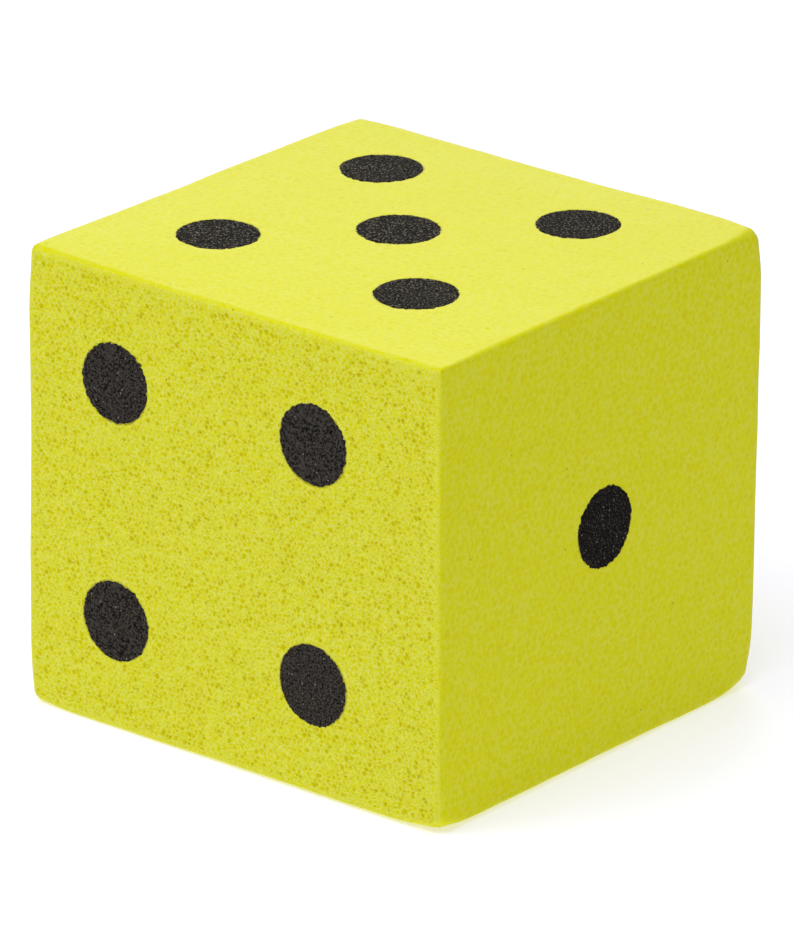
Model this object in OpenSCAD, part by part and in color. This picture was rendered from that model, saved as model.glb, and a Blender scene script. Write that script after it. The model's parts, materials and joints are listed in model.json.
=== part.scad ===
// Foam yard die: a block cut from soft open-cell foam, with round spots printed on its six faces.
// +Z is up, and the origin is the middle of the bottom face. The block is a little wider than it is tall.
// Opposite faces add up to seven: 5 on top and 2 below, 4 in front and 3 behind, 1 right and 6 left.

/* [Block] */
// Width of the block from left to right, along X
block_w = 93.5; // [80:0.5:110]
// Depth of the block from front to back, along Y
block_d = 90.5; // [80:0.5:110]
// Height of the block, along Z
block_h = 87; // [80:0.5:110]
// Radius along the cut edges
edge_r = 1.5; // [0.5:0.1:2]

/* [Spots] */
// Diameter of a printed spot
spot_d = 15; // [10:0.5:18]
// Distance between the outer spots of a face, centre to centre
spot_pitch = 45; // [38:0.5:48]
// How deep the ink soaks into the foam
ink_depth = 0.3; // [0.2:0.1:0.8]

/* [Print shift of the 5 face] */
// Shift to the right
five_shift_x = -2.2; // [-4:0.1:4]
// Shift towards the back
five_shift_y = 2.9; // [-4:0.1:4]

/* [Print shift of the 4 face] */
// Shift to the right
four_shift_x = -4; // [-5:0.1:5]
// Shift upwards
four_shift_z = -0.2; // [-4:0.1:4]

/* [Print shift of the 1 face] */
// Shift towards the back
one_shift_y = 0.6; // [-4:0.1:4]
// Shift upwards
one_shift_z = 0.5; // [-4:0.1:4]

/* [Hidden] */
foam_yellow = [0.87, 0.86, 0.22];
ink_black = [0.11, 0.10, 0.09];
cut_past = 1;          // how far a cutter runs past the surface that it cuts
$fn = 96;

// Where a spot can sit on a face, in steps of half a pitch to the right and up
upper_left = ["upper_left", [-1, 1]];
upper_right = ["upper_right", [1, 1]];
middle_left = ["middle_left", [-1, 0]];
middle_right = ["middle_right", [1, 0]];
lower_left = ["lower_left", [-1, -1]];
lower_right = ["lower_right", [1, -1]];
centre = ["centre", [0, 0]];

// The spots that make up each value
function layout(value) =
    value == 1 ? [centre] :
    value == 2 ? [upper_left, lower_right] :
    value == 3 ? [upper_left, centre, lower_right] :
    value == 4 ? [upper_left, upper_right, lower_left, lower_right] :
    value == 5 ? [upper_left, upper_right, centre, lower_left, lower_right] :
    [upper_left, middle_left, lower_left, upper_right, middle_right, lower_right];

// A face has a value, a centre, the turn that carries +Z to its outward normal, and its print's shift
FACES = [
    [5, [0, 0, block_h], [0, 0, 0], [five_shift_x, five_shift_y]],
    [4, [0, -block_d / 2, block_h / 2], [90, 0, 0], [four_shift_x, four_shift_z]],
    [1, [block_w / 2, 0, block_h / 2], [90, 0, 90], [one_shift_y, one_shift_z]],
    [3, [0, block_d / 2, block_h / 2], [90, 0, 180], [0, 0]],
    [6, [-block_w / 2, 0, block_h / 2], [90, 0, -90], [0, 0]],
    [2, [0, 0, 0], [180, 0, 0], [0, 0]]
];

// Every spot: its node name, its face, and its place on that face
SPOTS = [
    for (face = FACES) for (spot = layout(face[0]))
        [str("pip_", face[0], "_", spot[0]), face, spot[1] * spot_pitch / 2 + face[3]]
];

// Draws its children at a spot: +Z points out of the face, and z = 0 is the face itself
module at_spot(spot) {
    face = spot[1];
    translate(face[1]) rotate(face[2]) translate([spot[2].x, spot[2].y, 0]) children();
}

// A bar with rounded long edges, centred, that runs along Z
module rounded_bar(x, y, length) {
    cube([x - 2 * edge_r, y, length], center = true);
    cube([x, y - 2 * edge_r, length], center = true);
    for (i = [-1, 1], j = [-1, 1])
        translate([i * (x / 2 - edge_r), j * (y / 2 - edge_r), 0])
            cylinder(r = edge_r, h = length, center = true);
}

// The block with all twelve edges rounded: what three crossing bars have in common
module rounded_block() {
    translate([0, 0, block_h / 2]) intersection() {
        rounded_bar(block_w, block_d, block_h);
        rotate([90, 0, 0]) rounded_bar(block_w, block_h, block_d);
        rotate([0, 90, 0]) rounded_bar(block_h, block_d, block_w);
    }
}

// The foam, less the thin layer that each spot's ink fills
module foam_block() {
    color(foam_yellow) difference() {
        rounded_block();
        for (spot = SPOTS)
            at_spot(spot) translate([0, 0, -ink_depth]) cylinder(d = spot_d, h = ink_depth + cut_past);
    }
}

// One spot: the layer of foam that holds ink, flush with its face
module printed_spot(spot) {
    color(ink_black) at_spot(spot) translate([0, 0, -ink_depth]) cylinder(d = spot_d, h = ink_depth);
}

foam_block();
for (spot = SPOTS) printed_spot(spot);
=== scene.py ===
"""Looks of the foam yard die: a porous foam block with printed ink spots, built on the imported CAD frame."""

import json
import math
from collections import namedtuple
from itertools import product

import bpy
import numpy as np
from mathutils import Matrix, Vector
from mathutils.bvhtree import BVHTree
from mathutils.geometry import delaunay_2d_cdt

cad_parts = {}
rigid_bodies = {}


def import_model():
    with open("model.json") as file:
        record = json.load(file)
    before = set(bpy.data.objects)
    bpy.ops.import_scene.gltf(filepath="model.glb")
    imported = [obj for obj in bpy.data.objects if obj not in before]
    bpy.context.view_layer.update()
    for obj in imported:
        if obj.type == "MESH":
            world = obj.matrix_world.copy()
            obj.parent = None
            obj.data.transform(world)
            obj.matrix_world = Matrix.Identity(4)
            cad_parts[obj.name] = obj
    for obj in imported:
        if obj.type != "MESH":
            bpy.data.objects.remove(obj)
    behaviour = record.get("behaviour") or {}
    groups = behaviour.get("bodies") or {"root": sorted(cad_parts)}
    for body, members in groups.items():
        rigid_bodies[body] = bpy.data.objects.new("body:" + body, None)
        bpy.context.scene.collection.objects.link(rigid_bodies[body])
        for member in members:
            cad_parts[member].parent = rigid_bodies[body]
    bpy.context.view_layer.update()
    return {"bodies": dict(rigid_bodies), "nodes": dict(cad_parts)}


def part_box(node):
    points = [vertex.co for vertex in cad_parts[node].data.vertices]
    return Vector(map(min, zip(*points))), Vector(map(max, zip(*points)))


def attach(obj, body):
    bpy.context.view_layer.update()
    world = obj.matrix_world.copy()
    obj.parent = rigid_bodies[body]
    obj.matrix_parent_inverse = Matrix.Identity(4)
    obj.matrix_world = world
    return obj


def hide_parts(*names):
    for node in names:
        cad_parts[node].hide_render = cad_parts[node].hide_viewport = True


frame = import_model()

MM = 0.001
SEED = 7

BLOCK_LOW, BLOCK_HIGH = (np.array(corner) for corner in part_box("foam_block"))
CENTRE = (BLOCK_LOW + BLOCK_HIGH) / 2
HALF = (BLOCK_HIGH - BLOCK_LOW) / 2
HEIGHT = 2 * HALF[2]
BODY = next(iter(frame["bodies"]))
SPOT_NODES = sorted(name for name in frame["nodes"] if name.startswith("pip_"))


def linked_object(name, data):
    """A new object that shows this data in the scene."""
    made = bpy.data.objects.new(name, data)
    bpy.context.scene.collection.objects.link(made)
    return made


# ---------------------------------------------------------------- camera, light and floor

CAMERA_AZIMUTH = math.radians(39.21)
CAMERA_ELEVATION = math.radians(21.64)
CAMERA_ROLL = math.radians(0.52)
CAMERA_DISTANCE = 18.11 * HEIGHT
CAMERA_LENS_MM = 335.7
CAMERA_REACH = (0.05, 20)
AIM_RIGHT = 0.0034 * HEIGHT
AIM_HEIGHT = 0.4783 * HEIGHT


def direction(azimuth, elevation):
    """From the object towards a viewer or a light. Azimuth 0 is -Y, and 90 degrees is +X."""
    flat = math.cos(elevation)
    return Vector((math.sin(azimuth) * flat, -math.cos(azimuth) * flat, math.sin(elevation)))


def make_camera():
    back = direction(CAMERA_AZIMUTH, CAMERA_ELEVATION)
    level = Vector((math.cos(CAMERA_AZIMUTH), math.sin(CAMERA_AZIMUTH), 0))
    upright = back.cross(level)
    right = level * math.cos(CAMERA_ROLL) + upright * math.sin(CAMERA_ROLL)
    up = back.cross(right)
    place = level * AIM_RIGHT + Vector((0, 0, AIM_HEIGHT)) + back * CAMERA_DISTANCE
    data = bpy.data.cameras.new("camera")
    data.lens = CAMERA_LENS_MM
    data.clip_start, data.clip_end = CAMERA_REACH
    camera = linked_object("camera", data)
    camera.matrix_world = Matrix.Translation(place) @ Matrix((right, up, back)).transposed().to_4x4()
    bpy.context.scene.camera = camera


def area_light(name, azimuth, elevation, distance, size, watts):
    towards = direction(math.radians(azimuth), math.radians(elevation))
    data = bpy.data.lights.new(name, "AREA")
    data.shape, data.size, data.energy = "DISK", size, watts
    light = linked_object(name, data)
    light.location = Vector(CENTRE) + towards * distance
    light.rotation_mode = "QUATERNION"
    light.rotation_quaternion = towards.to_track_quat("Z", "Y")


# Name: azimuth and elevation in degrees, then distance and size in metres, and watts
LIGHTS = {
    "key": (10, 68, 0.6, 0.4, 0.76),
    "top": (20, 78, 0.7, 0.5, 1.08),
    "side": (-30, 50, 0.8, 0.4, 1.10),
    "fill": (75, 58, 0.35, 0.2, 0.03),
    "backdrop": (219, 22, 1.2, 0.75, 4.0),
}
WORLD_STRENGTH = 0.32


def make_lights():
    for name, settings in LIGHTS.items():
        area_light(name, *settings)
    world = bpy.data.worlds.new("studio")
    world.use_nodes = True
    sky = world.node_tree.nodes["Background"]
    sky.inputs["Color"].default_value = (1.0, 1.0, 1.0, 1.0)
    sky.inputs["Strength"].default_value = WORLD_STRENGTH
    bpy.context.scene.world = world
    bpy.context.scene.view_settings.view_transform = "Standard"


FLOOR_HALF = 3.0
FLOOR_COLOUR = (0.80, 0.80, 0.97, 1)
FLOOR_GLOW = 0.41
FLOOR_ROUGHNESS = 0.9


def make_floor():
    mesh = bpy.data.meshes.new("floor")
    corners = [(x * FLOOR_HALF, y * FLOOR_HALF, 0) for x, y in ((-1, -1), (1, -1), (1, 1), (-1, 1))]
    mesh.from_pydata(corners, [], [(0, 1, 2, 3)])
    material = bpy.data.materials.new("floor")
    material.use_nodes = True
    shader = material.node_tree.nodes["Principled BSDF"]
    shader.inputs["Base Color"].default_value = FLOOR_COLOUR
    shader.inputs["Roughness"].default_value = FLOOR_ROUGHNESS
    shader.inputs["Specular IOR Level"].default_value = 0.0
    shader.inputs["Emission Color"].default_value = (1, 1, 1, 1)
    shader.inputs["Emission Strength"].default_value = FLOOR_GLOW
    mesh.materials.append(material)
    floor = linked_object("floor", mesh)


# ---------------------------------------------------------------- materials


class Graph:
    """A material's node tree, with short calls to add and join nodes."""

    def __init__(self, name):
        self.material = bpy.data.materials.new(name)
        self.material.use_nodes = True
        self.tree = self.material.node_tree
        self.shader = self.tree.nodes["Principled BSDF"]

    def add(self, kind, inputs=None, **settings):
        node = self.tree.nodes.new(kind)
        for name, value in settings.items():
            setattr(node, name, value)
        for key, value in (inputs or {}).items():
            if hasattr(value, "is_linked"):
                self.tree.links.new(value, node.inputs[key])
            else:
                node.inputs[key].default_value = value
        return node

    def math(self, operation, a, b):
        return self.add("ShaderNodeMath", {0: a, 1: b}, operation=operation).outputs[0]

    def attribute(self, name):
        return self.add("ShaderNodeAttribute", attribute_name=name).outputs["Fac"]

    def spread(self, value, low, high, to_low=0.0, to_high=1.0):
        """Carries low..high to to_low..to_high, and clamps."""
        limits = {"From Min": low, "From Max": high, "To Min": to_low, "To Max": to_high}
        return self.add("ShaderNodeMapRange", {"Value": value, **limits}).outputs["Result"]

    def blend(self, share, first, second):
        """The share of the way from the first colour to the second."""
        return self.add("ShaderNodeMix", {0: share, 6: first, 7: second}, data_type="RGBA").outputs[2]

    def mix(self, share, first, second):
        """The share of the way from the first number to the second."""
        return self.add("ShaderNodeMix", {0: share, 2: first, 3: second}, data_type="FLOAT").outputs[0]

    def noise(self, where, size, detail=2.0, roughness=0.5):
        """Cloudy noise with features of about this size, in metres."""
        inputs = {"Vector": where, "Scale": 1 / size, "Detail": detail, "Roughness": roughness}
        return self.add("ShaderNodeTexNoise", inputs).outputs["Fac"]

    def cells(self, where, size):
        """How far a place is from the nearest cell's middle, as a share of the cells' size in metres."""
        inputs = {"Vector": where, "Scale": 1 / size, "Randomness": 1.0}
        return self.add("ShaderNodeTexVoronoi", inputs, feature="F1").outputs["Distance"]

    def surface(self, colour, height, relief, strength, roughness, specular):
        """Joins the colour and the bump to the shader, and returns the finished material."""
        bump = self.add("ShaderNodeBump", {"Height": height, "Distance": relief, "Strength": strength})
        self.tree.links.new(colour, self.shader.inputs["Base Color"])
        self.tree.links.new(bump.outputs["Normal"], self.shader.inputs["Normal"])
        self.shader.inputs["Roughness"].default_value = roughness
        self.shader.inputs["Specular IOR Level"].default_value = specular
        return self.material


FOAM_BODY = (0.77, 0.763, 0.001, 1)
# The deeper yellow of a sunk cell is painted shade
FOAM_PORE_SHADE = (0.70, 0.62, 0.0, 1)
# Pale strands and mottle: partly the foam's own paler struts, partly painted sheen
FOAM_STRAND_AND_SHEEN = (0.80, 0.81, 0.14, 1)
FOAM_STAIN = (0.20, 0.145, 0.004, 1)
SPECK = (0.10, 0.085, 0.03, 1)

# Sizes of the foam's drawn cells, whose deeper yellow is painted shade, and of its noises
DRAWN_CELL = 1.35 * MM
COARSE_SMALL_CELL = 0.44 * MM
FINE_SMALL_CELL = 0.95 * MM
STRAND_GRAIN = 0.30 * MM
MOTTLE = 1.1 * MM
CLOUD = 7.0 * MM
SOAK_GRAIN = 0.22 * MM
SPECK_GAP = 6.5 * MM
FOAM_RELIEF = 0.12 * MM


def foam_pore_shade(g, where, coarse):
    """Painted shade in the cells, by how deep the mesh's cells sink and, on the finer faces, in some cells
    that are only drawn.
    """
    drawn = g.spread(g.cells(where, DRAWN_CELL), 0.08, 0.40, 0.8, 0.0)
    drawn = g.math("MULTIPLY", drawn, g.spread(coarse, 0.0, 1.0, 1.0, 0.0))
    return g.math("MAXIMUM", g.spread(g.attribute("pore"), 0.14, 0.52), drawn)


def foam_paleness_and_sheen(g, where, coarse, pore_shade, small, fine):
    """Pale strands between the coarse faces' small cells and a pale mottle on the finer faces, both partly
    the foam's own and partly painted sheen, and the lip, painted pale as a highlight.
    """
    cloud = g.noise(where, CLOUD)
    strand_and_sheen = g.math("MULTIPLY", g.spread(small, 0.30, 0.50), g.spread(fine, 0.43, 0.54))
    strand_and_sheen = g.math("MULTIPLY", strand_and_sheen, g.spread(pore_shade, 0.1, 0.6, 1.0, 0.0))
    strand_and_sheen = g.math("MULTIPLY", strand_and_sheen, g.spread(cloud, 0.3, 0.7, 0.85, 1.0))

    veil_and_sheen = g.spread(g.noise(where, MOTTLE, 3.0, 0.8), 0.465, 0.535, 0.0, 0.36)
    veil_and_sheen = g.math("MULTIPLY", veil_and_sheen, g.spread(pore_shade, 0.0, 0.6, 1.0, 0.1))
    veil_and_sheen = g.math("MULTIPLY", veil_and_sheen, g.spread(cloud, 0.3, 0.7, 0.7, 1.0))
    # The lip is painted pale as a highlight along its burr
    return g.math("MAXIMUM", g.mix(coarse, veil_and_sheen, strand_and_sheen), g.attribute("lip"))


def marked_foam(g, where, colour):
    """Adds the ink that has soaked into the rim of each spot, its spray, and a few dark specks anywhere."""
    ink = g.attribute("ink")
    grain = g.noise(where, SOAK_GRAIN, 2.0, 0.6)
    soaked = g.spread(g.math("ADD", ink, g.math("MULTIPLY", grain, 0.3)), 0.95, 1.15, 0.0, 0.75)
    spray = g.math("GREATER_THAN", g.math("ADD", grain, g.math("MULTIPLY", ink, 0.20)), 0.80)
    specks = g.math("LESS_THAN", g.cells(where, SPECK_GAP), 0.03)
    colour = g.blend(soaked, colour, FOAM_STAIN)
    colour = g.blend(g.math("MULTIPLY", spray, 0.4), colour, SPECK)
    return g.blend(g.math("MULTIPLY", specks, 0.5), colour, SPECK)


def foam_material():
    g = Graph("foam")
    where = g.add("ShaderNodeTexCoord").outputs["Object"]
    coarse = g.attribute("coarse")
    pore_shade = foam_pore_shade(g, where, coarse)
    strength = g.spread(coarse, 0.0, 1.0, 0.3, 1.0)
    fine = g.noise(where, STRAND_GRAIN, 3.0, 0.6)
    small = g.mix(coarse, g.cells(where, FINE_SMALL_CELL), g.cells(where, COARSE_SMALL_CELL))

    # Painted shade tints each sunk or drawn cell a deeper yellow, and strands are paler, partly with painted
    # sheen
    colour = g.blend(g.math("MULTIPLY", pore_shade, strength), FOAM_BODY, FOAM_PORE_SHADE)
    colour = g.blend(foam_paleness_and_sheen(g, where, coarse, pore_shade, small, fine), colour, FOAM_STRAND_AND_SHEEN)
    colour = marked_foam(g, where, colour)

    grain = g.mix(coarse, g.math("MULTIPLY", fine, 0.25), g.math("MULTIPLY", fine, 0.65))
    hollows = g.math("MULTIPLY", g.spread(small, 0.12, 0.55, 1.0, 0.0), strength)
    height = g.math("SUBTRACT", grain, hollows)
    return g.surface(colour, height, FOAM_RELIEF, strength=0.7, roughness=0.42, specular=0.05)


# The black of the ink's pits is painted shade
INK_PIT_SHADE = (0.004, 0.0035, 0.003, 1)
INK_DENSE = (0.014, 0.012, 0.010, 1)
# The grey of fading and the pale grains of wear also paint in each face's light and sheen
INK_FADED_AND_LIT = (0.062, 0.054, 0.045, 1)
INK_WORN_AND_SHEEN = (0.26, 0.235, 0.175, 1)
INK_DUST = (0.42, 0.40, 0.34, 1)

# Sizes of the ink's drawn cells and noises
INK_CELL = 0.80 * MM
INK_GRAIN = 0.42 * MM
PIT_PATCH = 1.6 * MM
WORN_GRAIN = 0.38 * MM
DUST_GAP = 1.7 * MM
INK_RELIEF = 0.15 * MM


def ink_material():
    g = Graph("ink")
    where = g.add("ShaderNodeTexCoord").outputs["Object"]

    # A print is grey where fading and its face's painted light lift it, and every print has black pits like
    # open cells, painted as shade
    grain = g.noise(where, INK_GRAIN, 3.0, 0.7)
    pits = g.spread(g.cells(where, INK_CELL), 0.14, 0.36, 1.0, 0.0)
    pits = g.math("MULTIPLY", pits, g.spread(g.noise(where, PIT_PATCH), 0.40, 0.55))
    # Painted shade: the ink is blacker in its pits and low grain, where the bump sinks it
    pit_shade = g.math("MAXIMUM", pits, g.spread(grain, 0.42, 0.55, 1.0, 0.0))
    colour = g.blend(g.attribute("faded_and_lit"), INK_DENSE, INK_FADED_AND_LIT)
    colour = g.blend(pit_shade, colour, INK_PIT_SHADE)

    # Wear and painted sheen show as pale grains, and each has a few flecks of dust
    pale = g.spread(g.noise(where, WORN_GRAIN, 2.0, 0.7), 0.57, 0.64)
    colour = g.blend(g.math("MULTIPLY", pale, g.attribute("worn_and_sheen")), colour, INK_WORN_AND_SHEEN)
    dust = g.spread(g.cells(where, DUST_GAP), 0.07, 0.10, 1.0, 0.0)
    colour = g.blend(g.math("MULTIPLY", dust, 0.5), colour, INK_DUST)

    height = g.math("SUBTRACT", g.math("MULTIPLY", grain, 0.6), pits)
    return g.surface(colour, height, INK_RELIEF, strength=0.8, roughness=0.8, specular=0.03)


# ---------------------------------------------------------------- the foam block's mesh

# A face: its outward normal, and its own right and up directions
FACES = {
    "top": ((0, 0, 1), (1, 0, 0), (0, 1, 0)),
    "bottom": ((0, 0, -1), (1, 0, 0), (0, -1, 0)),
    "front": ((0, -1, 0), (1, 0, 0), (0, 0, 1)),
    "back": ((0, 1, 0), (-1, 0, 0), (0, 0, 1)),
    "right": ((1, 0, 0), (0, 1, 0), (0, 0, 1)),
    "left": ((-1, 0, 0), (0, -1, 0), (0, 0, 1)),
}
SIGNS = (-1, 1)
COARSE_FACES = ("front", "back")

# Distances between neighbouring points, on the faces, along the edges, and from an edge to the row beside it
COARSE_STEP = 1.04 * MM
FINE_STEP = 1.7 * MM
EDGE_STEP = 1.05 * MM
EDGE_ROW = 0.85 * MM

# How far a point may stray, as a share of those distances. A row keeps this range of EDGE_ROW from its edge
FACE_JITTER = 0.36
EDGE_JITTER = 0.3
ROW_JITTER = 0.25
ROW_SPREAD = (0.8, 1.15)

# Points this close to a plane, in metres, lie on it. Delaunay joins points this close, in millimetres
ON_PLANE = 1e-9
SAME_POINT = 1e-5


def waves(points, length, rng, count=7):
    """Smooth noise, mostly from -1 to 1, at each point, with waves of about this length."""
    total = np.zeros(len(points))
    for _ in range(count):
        heading = rng.normal(size=3)
        heading *= 2 * math.pi / (length * np.linalg.norm(heading)) * rng.uniform(0.7, 1.4)
        total += np.sin(points @ heading + rng.uniform(0, 2 * math.pi))
    return total / math.sqrt(count)


def jittered_rows(width, height, step, rng):
    """Points spread evenly but irregularly over a rectangle, centred on zero."""
    down = max(2, round(height / (step * math.sqrt(3) / 2)))
    across = max(2, round(width / step))
    points = []
    for j in range(down):
        for i in range(across):
            x = (i + 0.25 + 0.5 * (j % 2)) / across - 0.5
            points.append((x * width, ((j + 0.5) / down - 0.5) * height))
    points = np.array(points) + rng.uniform(-FACE_JITTER, FACE_JITTER, (len(points), 2)) * step
    return np.clip(points, (-width / 2, -height / 2), (width / 2, height / 2))


def anticlockwise(face, flat):
    """A triangle's three indices in the order that runs anticlockwise over the flat points."""
    a, b, c = (flat[k] for k in face)
    turn = (b[0] - a[0]) * (c[1] - a[1]) - (b[1] - a[1]) * (c[0] - a[0])
    return face if turn > 0 else face[::-1]


def edge_points(rng):
    """The box's eight corners, then the points along its twelve edges, as sharp-box positions."""
    points = [np.array(corner) * HALF for corner in product(SIGNS, SIGNS, SIGNS)]
    for axis in range(3):
        others = [k for k in range(3) if k != axis]
        for s, t in product(SIGNS, SIGNS):
            count = round(2 * HALF[axis] / EDGE_STEP)
            jitter = rng.uniform(-EDGE_JITTER, EDGE_JITTER, count - 1)
            for along in (np.arange(1, count) + jitter) / count * 2 - 1:
                point = np.zeros(3)
                point[axis] = along * HALF[axis]
                point[others[0]], point[others[1]] = s * HALF[others[0]], t * HALF[others[1]]
                points.append(point)
    return np.array(points)


def face_points(half_w, half_h, step, rng):
    """A face's own points in its plane: those spread over it, then a row beside each of its edges."""
    inset = EDGE_ROW + step / 2
    own = [jittered_rows(2 * (half_w - inset), 2 * (half_h - inset), step, rng)]
    for along, across, turned in ((half_w, half_h, False), (half_h, half_w, True)):
        for side in SIGNS:
            count = round(2 * (along - EDGE_ROW) / EDGE_STEP)
            jitter = rng.uniform(-ROW_JITTER, ROW_JITTER, count)
            t = ((np.arange(count) + 0.5 + jitter) / count * 2 - 1) * (along - EDGE_ROW)
            row = side * (across - EDGE_ROW * rng.uniform(*ROW_SPREAD, count))
            own.append(np.stack((row, t) if turned else (t, row), axis=1))
    return np.concatenate(own)


def face_triangles(name, shared, first_own, rng):
    """A face's own points as sharp-box positions, and the triangles that join them to the edge points."""
    normal, right, up = (np.array(v, float) for v in FACES[name])
    half_w, half_h, half_n = (abs(v) @ HALF for v in (right, up, normal))
    on_face = np.where(np.abs(shared @ normal - half_n) < ON_PLANE)[0]
    rim = np.stack((shared[on_face] @ right, shared[on_face] @ up), axis=1)
    own = face_points(half_w, half_h, COARSE_STEP if name in COARSE_FACES else FINE_STEP, rng)

    flat = np.concatenate((rim, own))
    index = np.concatenate((on_face, first_own + np.arange(len(own))))
    _, _, faces, origins, _, _ = delaunay_2d_cdt([Vector(p) for p in flat / MM], [], [], 0, SAME_POINT)
    source = [origin[0] for origin in origins]
    kept = flat[source]
    triangles = [[index[source[k]] for k in anticlockwise(face, kept)] for face in faces]
    return own[:, :1] * right + own[:, 1:] * up + half_n * normal, triangles


# A turned edge has to leave each of its two triangles at least this share of the one beside it,
# so that none folds over
LEAST_SHARE = 0.1


def opened_cells(points, triangles):
    """Adds a point in the middle of each triangle and turns the edges between them where that folds nothing.

    Each of the first points then has a ring of new ones round it, and can be sunk as a cell.
    """
    by_edge = {}
    for t, (a, b, c) in enumerate(triangles):
        for edge in ((a, b), (b, c), (c, a)):
            by_edge[edge] = t
    first = len(points)
    pairs = [(a, b, first + t, first + by_edge[(b, a)]) for (a, b), t in by_edge.items() if a < b]
    a, b, near, far = np.array(pairs).T
    points = np.concatenate((points, points[triangles].mean(axis=1)))

    def facing(i, j, k):
        return np.cross(points[j] - points[i], points[k] - points[i])

    beside = facing(a, b, near)
    least = LEAST_SHARE * (beside * beside).sum(axis=1)
    on_edge = (np.abs(np.abs(points) - HALF) < ON_PLANE).sum(axis=1) >= 2
    turned = ~(on_edge[a] & on_edge[b])
    turned &= (facing(a, far, near) * beside).sum(axis=1) > least
    turned &= (facing(far, b, near) * beside).sum(axis=1) > least
    cells = np.stack((a, np.where(turned, far, b), near, b, np.where(turned, near, a), far), axis=1)
    return points, cells.reshape(-1, 3)


def joined_faces(rng):
    """All the sharp box's points and triangles, and how many of the points can be sunk as cells."""
    shared = edge_points(rng)
    parts, triangles, first = [shared], [], len(shared)
    for name in FACES:
        own, joined = face_triangles(name, shared, first, rng)
        parts.append(own)
        triangles += joined
        first += len(own)
    points, cells = opened_cells(np.concatenate(parts), np.array(triangles))
    return points, cells, first


# ---------------------------------------------------------------- the foam block's shape

EDGE_RADIUS = 0.9 * MM
RADIUS_WAVER = 0.08
RADIUS_WAVE = 14 * MM
CORNER_REACH = 6.0 * MM

# How round each corner is, in millimetres
CORNER_RADII = {
    (-1, -1, 1): 1.7,
    (1, -1, 1): 0.6,
    (1, 1, 1): 2.8,
    (-1, 1, 1): 2.2,
    (-1, -1, -1): 2.2,
    (1, -1, -1): 3.4,
    (1, 1, -1): 4.1,
    (-1, 1, -1): 2.6,
}

# How far each corner that is off square lies from it, as (x, y, z) in millimetres
CORNER_SHIFTS = {
    (-1, 1, 1): (0.31, 0.26, 0.0),
    (1, 1, 1): (-0.12, 0.10, 0.25),
    (1, -1, 1): (0.0, -0.12, -0.50),
    (-1, -1, -1): (-0.17, -0.13, 0.02),
    (1, 1, -1): (0.25, -0.68, 0.0),
    (1, -1, -1): (0.35, 0.51, 0.38),
}

# How far the middle of each bowed edge has sunk or lifted, in millimetres. The zero is the edge's own axis
EDGE_BOWS = {(-1, 0, 1): -0.30, (0, 1, 1): -0.38, (0, -1, 1): -0.35, (1, 0, -1): 0.25}
BOW_REACH = 9 * MM

# The lip low on the near upright edge, which stands proud and is painted pale as a highlight: how high it
# goes, over what height it fades, and how proud it stands
LIP_HEIGHT = 15 * MM
LIP_FADE = 3 * MM
LIP_PROUD = 0.12 * MM


def rounded(points, rng):
    """Sharp-box points carried to the box with rounded edges, with their outward directions."""
    radius = EDGE_RADIUS * (1 + RADIUS_WAVER * waves(points, RADIUS_WAVE, rng))
    for signs, corner_radius in CORNER_RADII.items():
        away = np.linalg.norm(points - np.array(signs) * HALF, axis=1)
        radius += (corner_radius * MM - EDGE_RADIUS) * np.exp(-((away / CORNER_REACH) ** 2))
    radius = radius[:, None]
    core = np.clip(points, -(HALF - radius), HALF - radius)
    out = points - core
    out /= np.linalg.norm(out, axis=1)[:, None]
    return core + radius * out, out


def edge_distance(points):
    """How far each sharp-box point lies from the nearest edge of the box."""
    inside = np.sort(HALF - np.abs(points), axis=1)
    return inside[:, 1]


def corner_shift(points):
    """How far the off-square corners carry each point."""
    share = points / (2 * HALF)
    total = np.zeros_like(points)
    for signs, shift in CORNER_SHIFTS.items():
        weight = np.prod(0.5 + share * signs, axis=1)
        total += weight[:, None] * np.array(shift) * MM
    return total


def edge_bow(points):
    """How far up the bowed edges carry each point."""
    total = np.zeros(len(points))
    for signs, height in EDGE_BOWS.items():
        signs = np.array(signs)
        along = (points / HALF)[:, signs == 0][:, 0]
        gap = np.linalg.norm((points - signs * HALF)[:, signs != 0], axis=1)
        total += height * MM * (1 - along**2) * np.exp(-((gap / BOW_REACH) ** 2))
    return total


def cut_lip(points):
    """One for the points of the lip, less for those where it fades, and zero elsewhere."""
    on_edge = (np.abs(points[:, 0] - HALF[0]) < ON_PLANE) & (np.abs(points[:, 1] + HALF[1]) < ON_PLANE)
    return on_edge * np.clip((LIP_HEIGHT - HALF[2] - points[:, 2]) / LIP_FADE, 0, 1)


Spot = namedtuple("Spot", "node middle radius normal right up")

# A point this near to the plane of a spot's face is on that face. On any other face it counts as far off
SPOT_LEVEL = 0.5 * MM
FAR_OFF = 1.0


def spot_frames():
    """Each spot's node name, centre, radius, and outward, right and up directions, from the CAD model."""
    found = []
    for node in SPOT_NODES:
        low, high = (np.array(corner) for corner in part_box(node))
        middle = (low + high) / 2 - CENTRE
        axis = int(np.argmin(high - low))
        normal = np.zeros(3)
        normal[axis] = math.copysign(1, middle[axis])
        right, up = next((r, u) for n, r, u in FACES.values() if np.allclose(n, normal))
        on_face = middle * (normal == 0) + HALF * normal
        radius = (high - low).max() / 2
        found.append(Spot(node, on_face, radius, normal, np.array(right, float), np.array(up, float)))
    return found


def spot_distance(points, spots):
    """How far each point lies outside the nearest spot on its own face: negative inside."""
    nearest = np.full(len(points), FAR_OFF)
    for spot in spots:
        offset = points - spot.middle
        level = np.abs(offset @ spot.normal) < SPOT_LEVEL
        gap = np.linalg.norm(offset, axis=1) - spot.radius
        nearest = np.where(level, np.minimum(nearest, gap), nearest)
    return nearest


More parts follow.
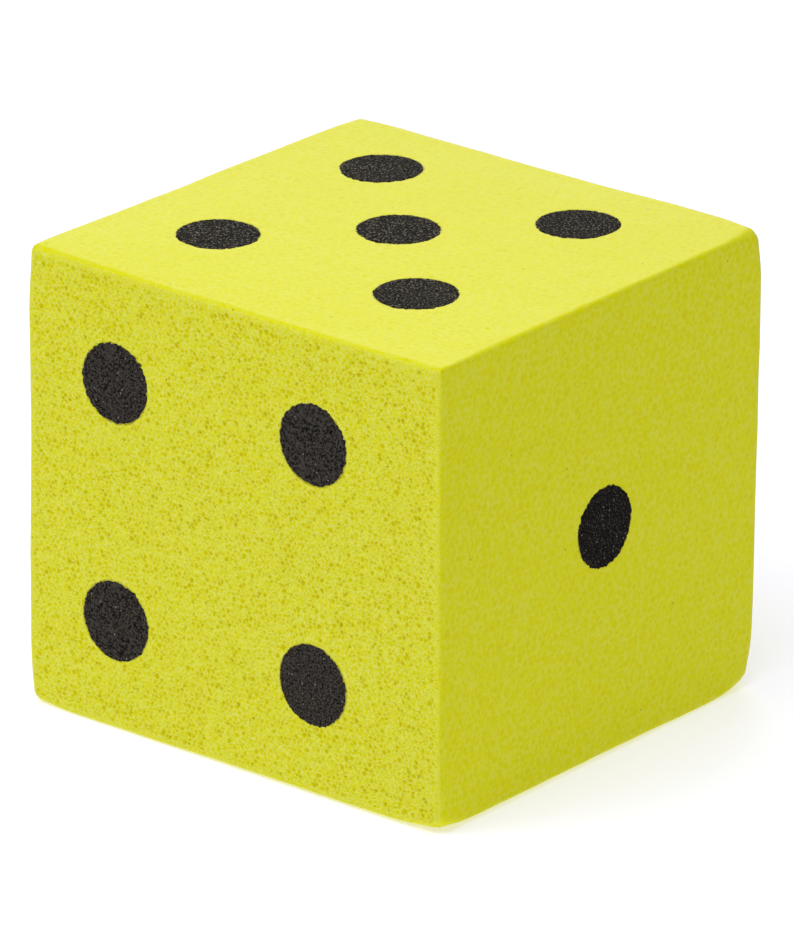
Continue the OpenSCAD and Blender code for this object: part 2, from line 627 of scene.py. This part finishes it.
def new_mesh_object(name, points, triangles, attributes, material):
    mesh = bpy.data.meshes.new(name)
    mesh.from_pydata((points + CENTRE).tolist(), [], [tuple(int(i) for i in t) for t in triangles])
    for key, values in attributes.items():
        layer = mesh.attributes.new(key, "FLOAT", "POINT")
        layer.data.foreach_set("value", np.asarray(values, dtype=np.float32))
    mesh.polygons.foreach_set("use_smooth", [True] * len(mesh.polygons))
    mesh.materials.append(material)
    return linked_object(name, mesh)


# The surface starts to be coarse where its outward direction has this much of Y, and is fully so at one
COARSE_FROM = 0.62

# A usual cell's depth on the coarse and the finer faces. Each cell has a log-normal share of that depth,
# within limits, and its painted shade is full at PORE_FULL. The web between the cells has up to WEB_DEEP of
# it
COARSE_PORE_DEEP = 0.16 * MM
FINE_PORE_DEEP = 0.035 * MM
PORE_SPREAD = (-0.05, 0.38)
PORE_LIMITS = (0.25, 2.4)
PORE_FULL = 2.2
WEB_DEEP = 0.18

# The share of its depth that a cell keeps at an edge, and the distance and curve over which that grows to
# all of it, then the share that it keeps under the ink and within a margin round it
EDGE_CALM = 0.12
EDGE_CALM_REACH = 1.6 * MM
EDGE_CALM_CURVE = 1.5
INK_CALM = 0.6
INK_MARGIN = 0.35 * MM

# How far the foam is pressed in under the ink and sunk all over, and how far a spot's stain reaches
UNDER_INK = 0.16 * MM
SURFACE_SUNK = 0.08 * MM
STAIN_REACH = 1.4 * MM

# The surface's slow swells, as (height, length)
SWELLS = ((0.06 * MM, 38 * MM), (0.02 * MM, 9 * MM))


def pore_depths(points, pores, gap, rng):
    """How deep each point is sunk, where one is a usual cell. The first points are cells, the rest is web."""
    depth = np.zeros(len(points))
    depth[:pores] = np.clip(rng.lognormal(*PORE_SPREAD, pores), *PORE_LIMITS)
    depth[pores:] = rng.uniform(0.0, WEB_DEEP, len(points) - pores)
    inward = np.clip(edge_distance(points) / EDGE_CALM_REACH, 0, 1)
    depth *= EDGE_CALM + (1 - EDGE_CALM) * inward**EDGE_CALM_CURVE
    return np.where(gap < INK_MARGIN, depth * INK_CALM, depth)


def build_block(spots, material):
    """The foam block, and its surface as it was before the ink's room was pressed in."""
    rng = np.random.RandomState(SEED)
    points, cells, pores = joined_faces(rng)
    surface, out = rounded(points, rng)
    coarse = np.clip((np.abs(out[:, 1]) - COARSE_FROM) / (1 - COARSE_FROM), 0, 1)
    gap = spot_distance(points, spots)
    depth = pore_depths(points, pores, gap, rng)
    full = np.where(coarse > 0.5, COARSE_PORE_DEEP, FINE_PORE_DEEP)
    swell = sum(height * waves(points, length, rng) for height, length in SWELLS)
    lip = cut_lip(points)
    surface = surface + corner_shift(points) + (swell - SURFACE_SUNK - depth * full)[:, None] * out
    surface += (LIP_PROUD * lip)[:, None] * out
    surface[:, 2] = np.maximum(surface[:, 2] + edge_bow(points), -HALF[2])

    untouched = BVHTree.FromPolygons([Vector(p) for p in surface], [tuple(c) for c in cells.tolist()])
    pressed = surface - np.where(gap < -INK_MARGIN, UNDER_INK, 0.0)[:, None] * out
    attributes = {
        # How much painted shade each cell's colour gets, by its depth
        "pore": np.clip(depth / PORE_FULL, 0, 1),
        "coarse": coarse,
        "ink": np.clip(1 - gap / STAIN_REACH, 0, 1),
        "lip": lip,
    }
    return new_mesh_object("foam_die_block", pressed, cells, attributes, material), untouched


# ---------------------------------------------------------------- the printed spots

FILM_STEP = 0.38 * MM
FILM_THICK = 0.12 * MM
FILM_PROUD = 0.05 * MM
FILM_SPREAD = 0.06 * MM
FILM_GRAIN = 0.05 * MM
RIM_SUNK = 0.09 * MM
RING_INSET = 0.33 * MM
INNER_INSET = 0.55 * MM
CAST_FROM = 3 * MM

OUTLINE_POINTS = 220
# How many lobes the outline wavers in, and by how much in millimetres
OUTLINE_LOBES = ((2, 0.06), (3, 0.05), (5, 0.04), (11, 0.04), (23, 0.035), (37, 0.035))
OUTLINE_FRAY = 0.045 * MM

# How grey and how grainy the print is on each face, by the number of its spots: partly fading and wear,
# partly that face's painted light and sheen
INK_AGE_AND_FACE_LIGHT = {
    "1": (0.0, 0.30),
    "2": (0.7, 0.5),
    "3": (0.8, 0.4),
    "4": (0.90, 0.16),
    "5": (0.15, 0.95),
    "6": (0.4, 0.3),
}


def spot_outline(radius, rng):
    """A circle that wavers a little and has a frayed rim."""
    angle = np.arange(OUTLINE_POINTS) * 2 * math.pi / OUTLINE_POINTS
    reach = np.full(OUTLINE_POINTS, radius + FILM_SPREAD)
    for lobes, size in OUTLINE_LOBES:
        reach += size * MM * rng.normal() * np.sin(lobes * angle + rng.uniform(0, 2 * math.pi))
    fray = rng.normal(size=OUTLINE_POINTS)
    reach += OUTLINE_FRAY * (fray + np.roll(fray, 1))
    return np.stack((reach * np.cos(angle), reach * np.sin(angle)), axis=1)


def spot_plan(radius, rng):
    """A spot's flat points, those of its outline first, and the triangles that join them."""
    outline = spot_outline(radius, rng)
    inner = jittered_rows(2 * radius, 2 * radius, FILM_STEP, rng)
    inner = inner[np.linalg.norm(inner, axis=1) < radius - INNER_INSET]
    ring = outline * (1 - RING_INSET / radius)
    flat = np.concatenate((outline, ring, inner))
    loop = list(range(OUTLINE_POINTS))
    places, _, faces, _, _, _ = delaunay_2d_cdt([Vector(p) for p in flat / MM], [], [loop], 1, SAME_POINT)
    flat = np.array([tuple(p) for p in places]) * MM
    return flat, [anticlockwise(face, flat) for face in faces]


def film_triangles(faces, count):
    """The film's top, its bottom, whose points follow the top's, and the wall round its rim."""
    triangles = []
    for a, b, c in faces:
        triangles += [(a, b, c), (c + count, b + count, a + count)]
    for i in range(OUTLINE_POINTS):
        j = (i + 1) % OUTLINE_POINTS
        triangles += [(j, i, i + count), (j, i + count, j + count)]
    return triangles


def build_spot(spot, surface, material, rng):
    """A closed film of ink, whose top and bottom both follow the foam's surface."""
    flat, faces = spot_plan(spot.radius, rng)
    tops = []
    for x, y in flat:
        start = spot.middle + spot.right * x + spot.up * y
        hit, _, _, _ = surface.ray_cast(Vector(start + spot.normal * CAST_FROM), Vector(-spot.normal))
        tops.append(np.array(hit) if hit is not None else start)
    grain = rng.uniform(-0.5, 0.5, len(flat)) * FILM_GRAIN
    grain[:OUTLINE_POINTS] = -RIM_SUNK
    tops = np.array(tops) + (FILM_PROUD + grain)[:, None] * spot.normal
    points = np.concatenate((tops, tops - FILM_THICK * spot.normal))

    # Each face's ink tone carries its fading and wear and also that face's painted light and sheen
    faded_and_lit, worn_and_sheen = INK_AGE_AND_FACE_LIGHT[spot.node.split("_")[1]]
    attributes = {"faded_and_lit": np.full(len(points), faded_and_lit), "worn_and_sheen": np.full(len(points), worn_and_sheen)}
    triangles = film_triangles(faces, len(flat))
    return new_mesh_object(spot.node.replace("pip", "ink_spot"), points, triangles, attributes, material)


# ---------------------------------------------------------------- putting it together


def finish_piece(piece, node):
    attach(piece, BODY)
    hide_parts(node)


make_camera()
make_lights()
make_floor()

spots = spot_frames()
block, surface = build_block(spots, foam_material())
finish_piece(block, "foam_block")

ink = ink_material()
spot_rng = np.random.RandomState(SEED + 1)
for spot in spots:
    finish_piece(build_spot(spot, surface, ink, spot_rng), spot.node)
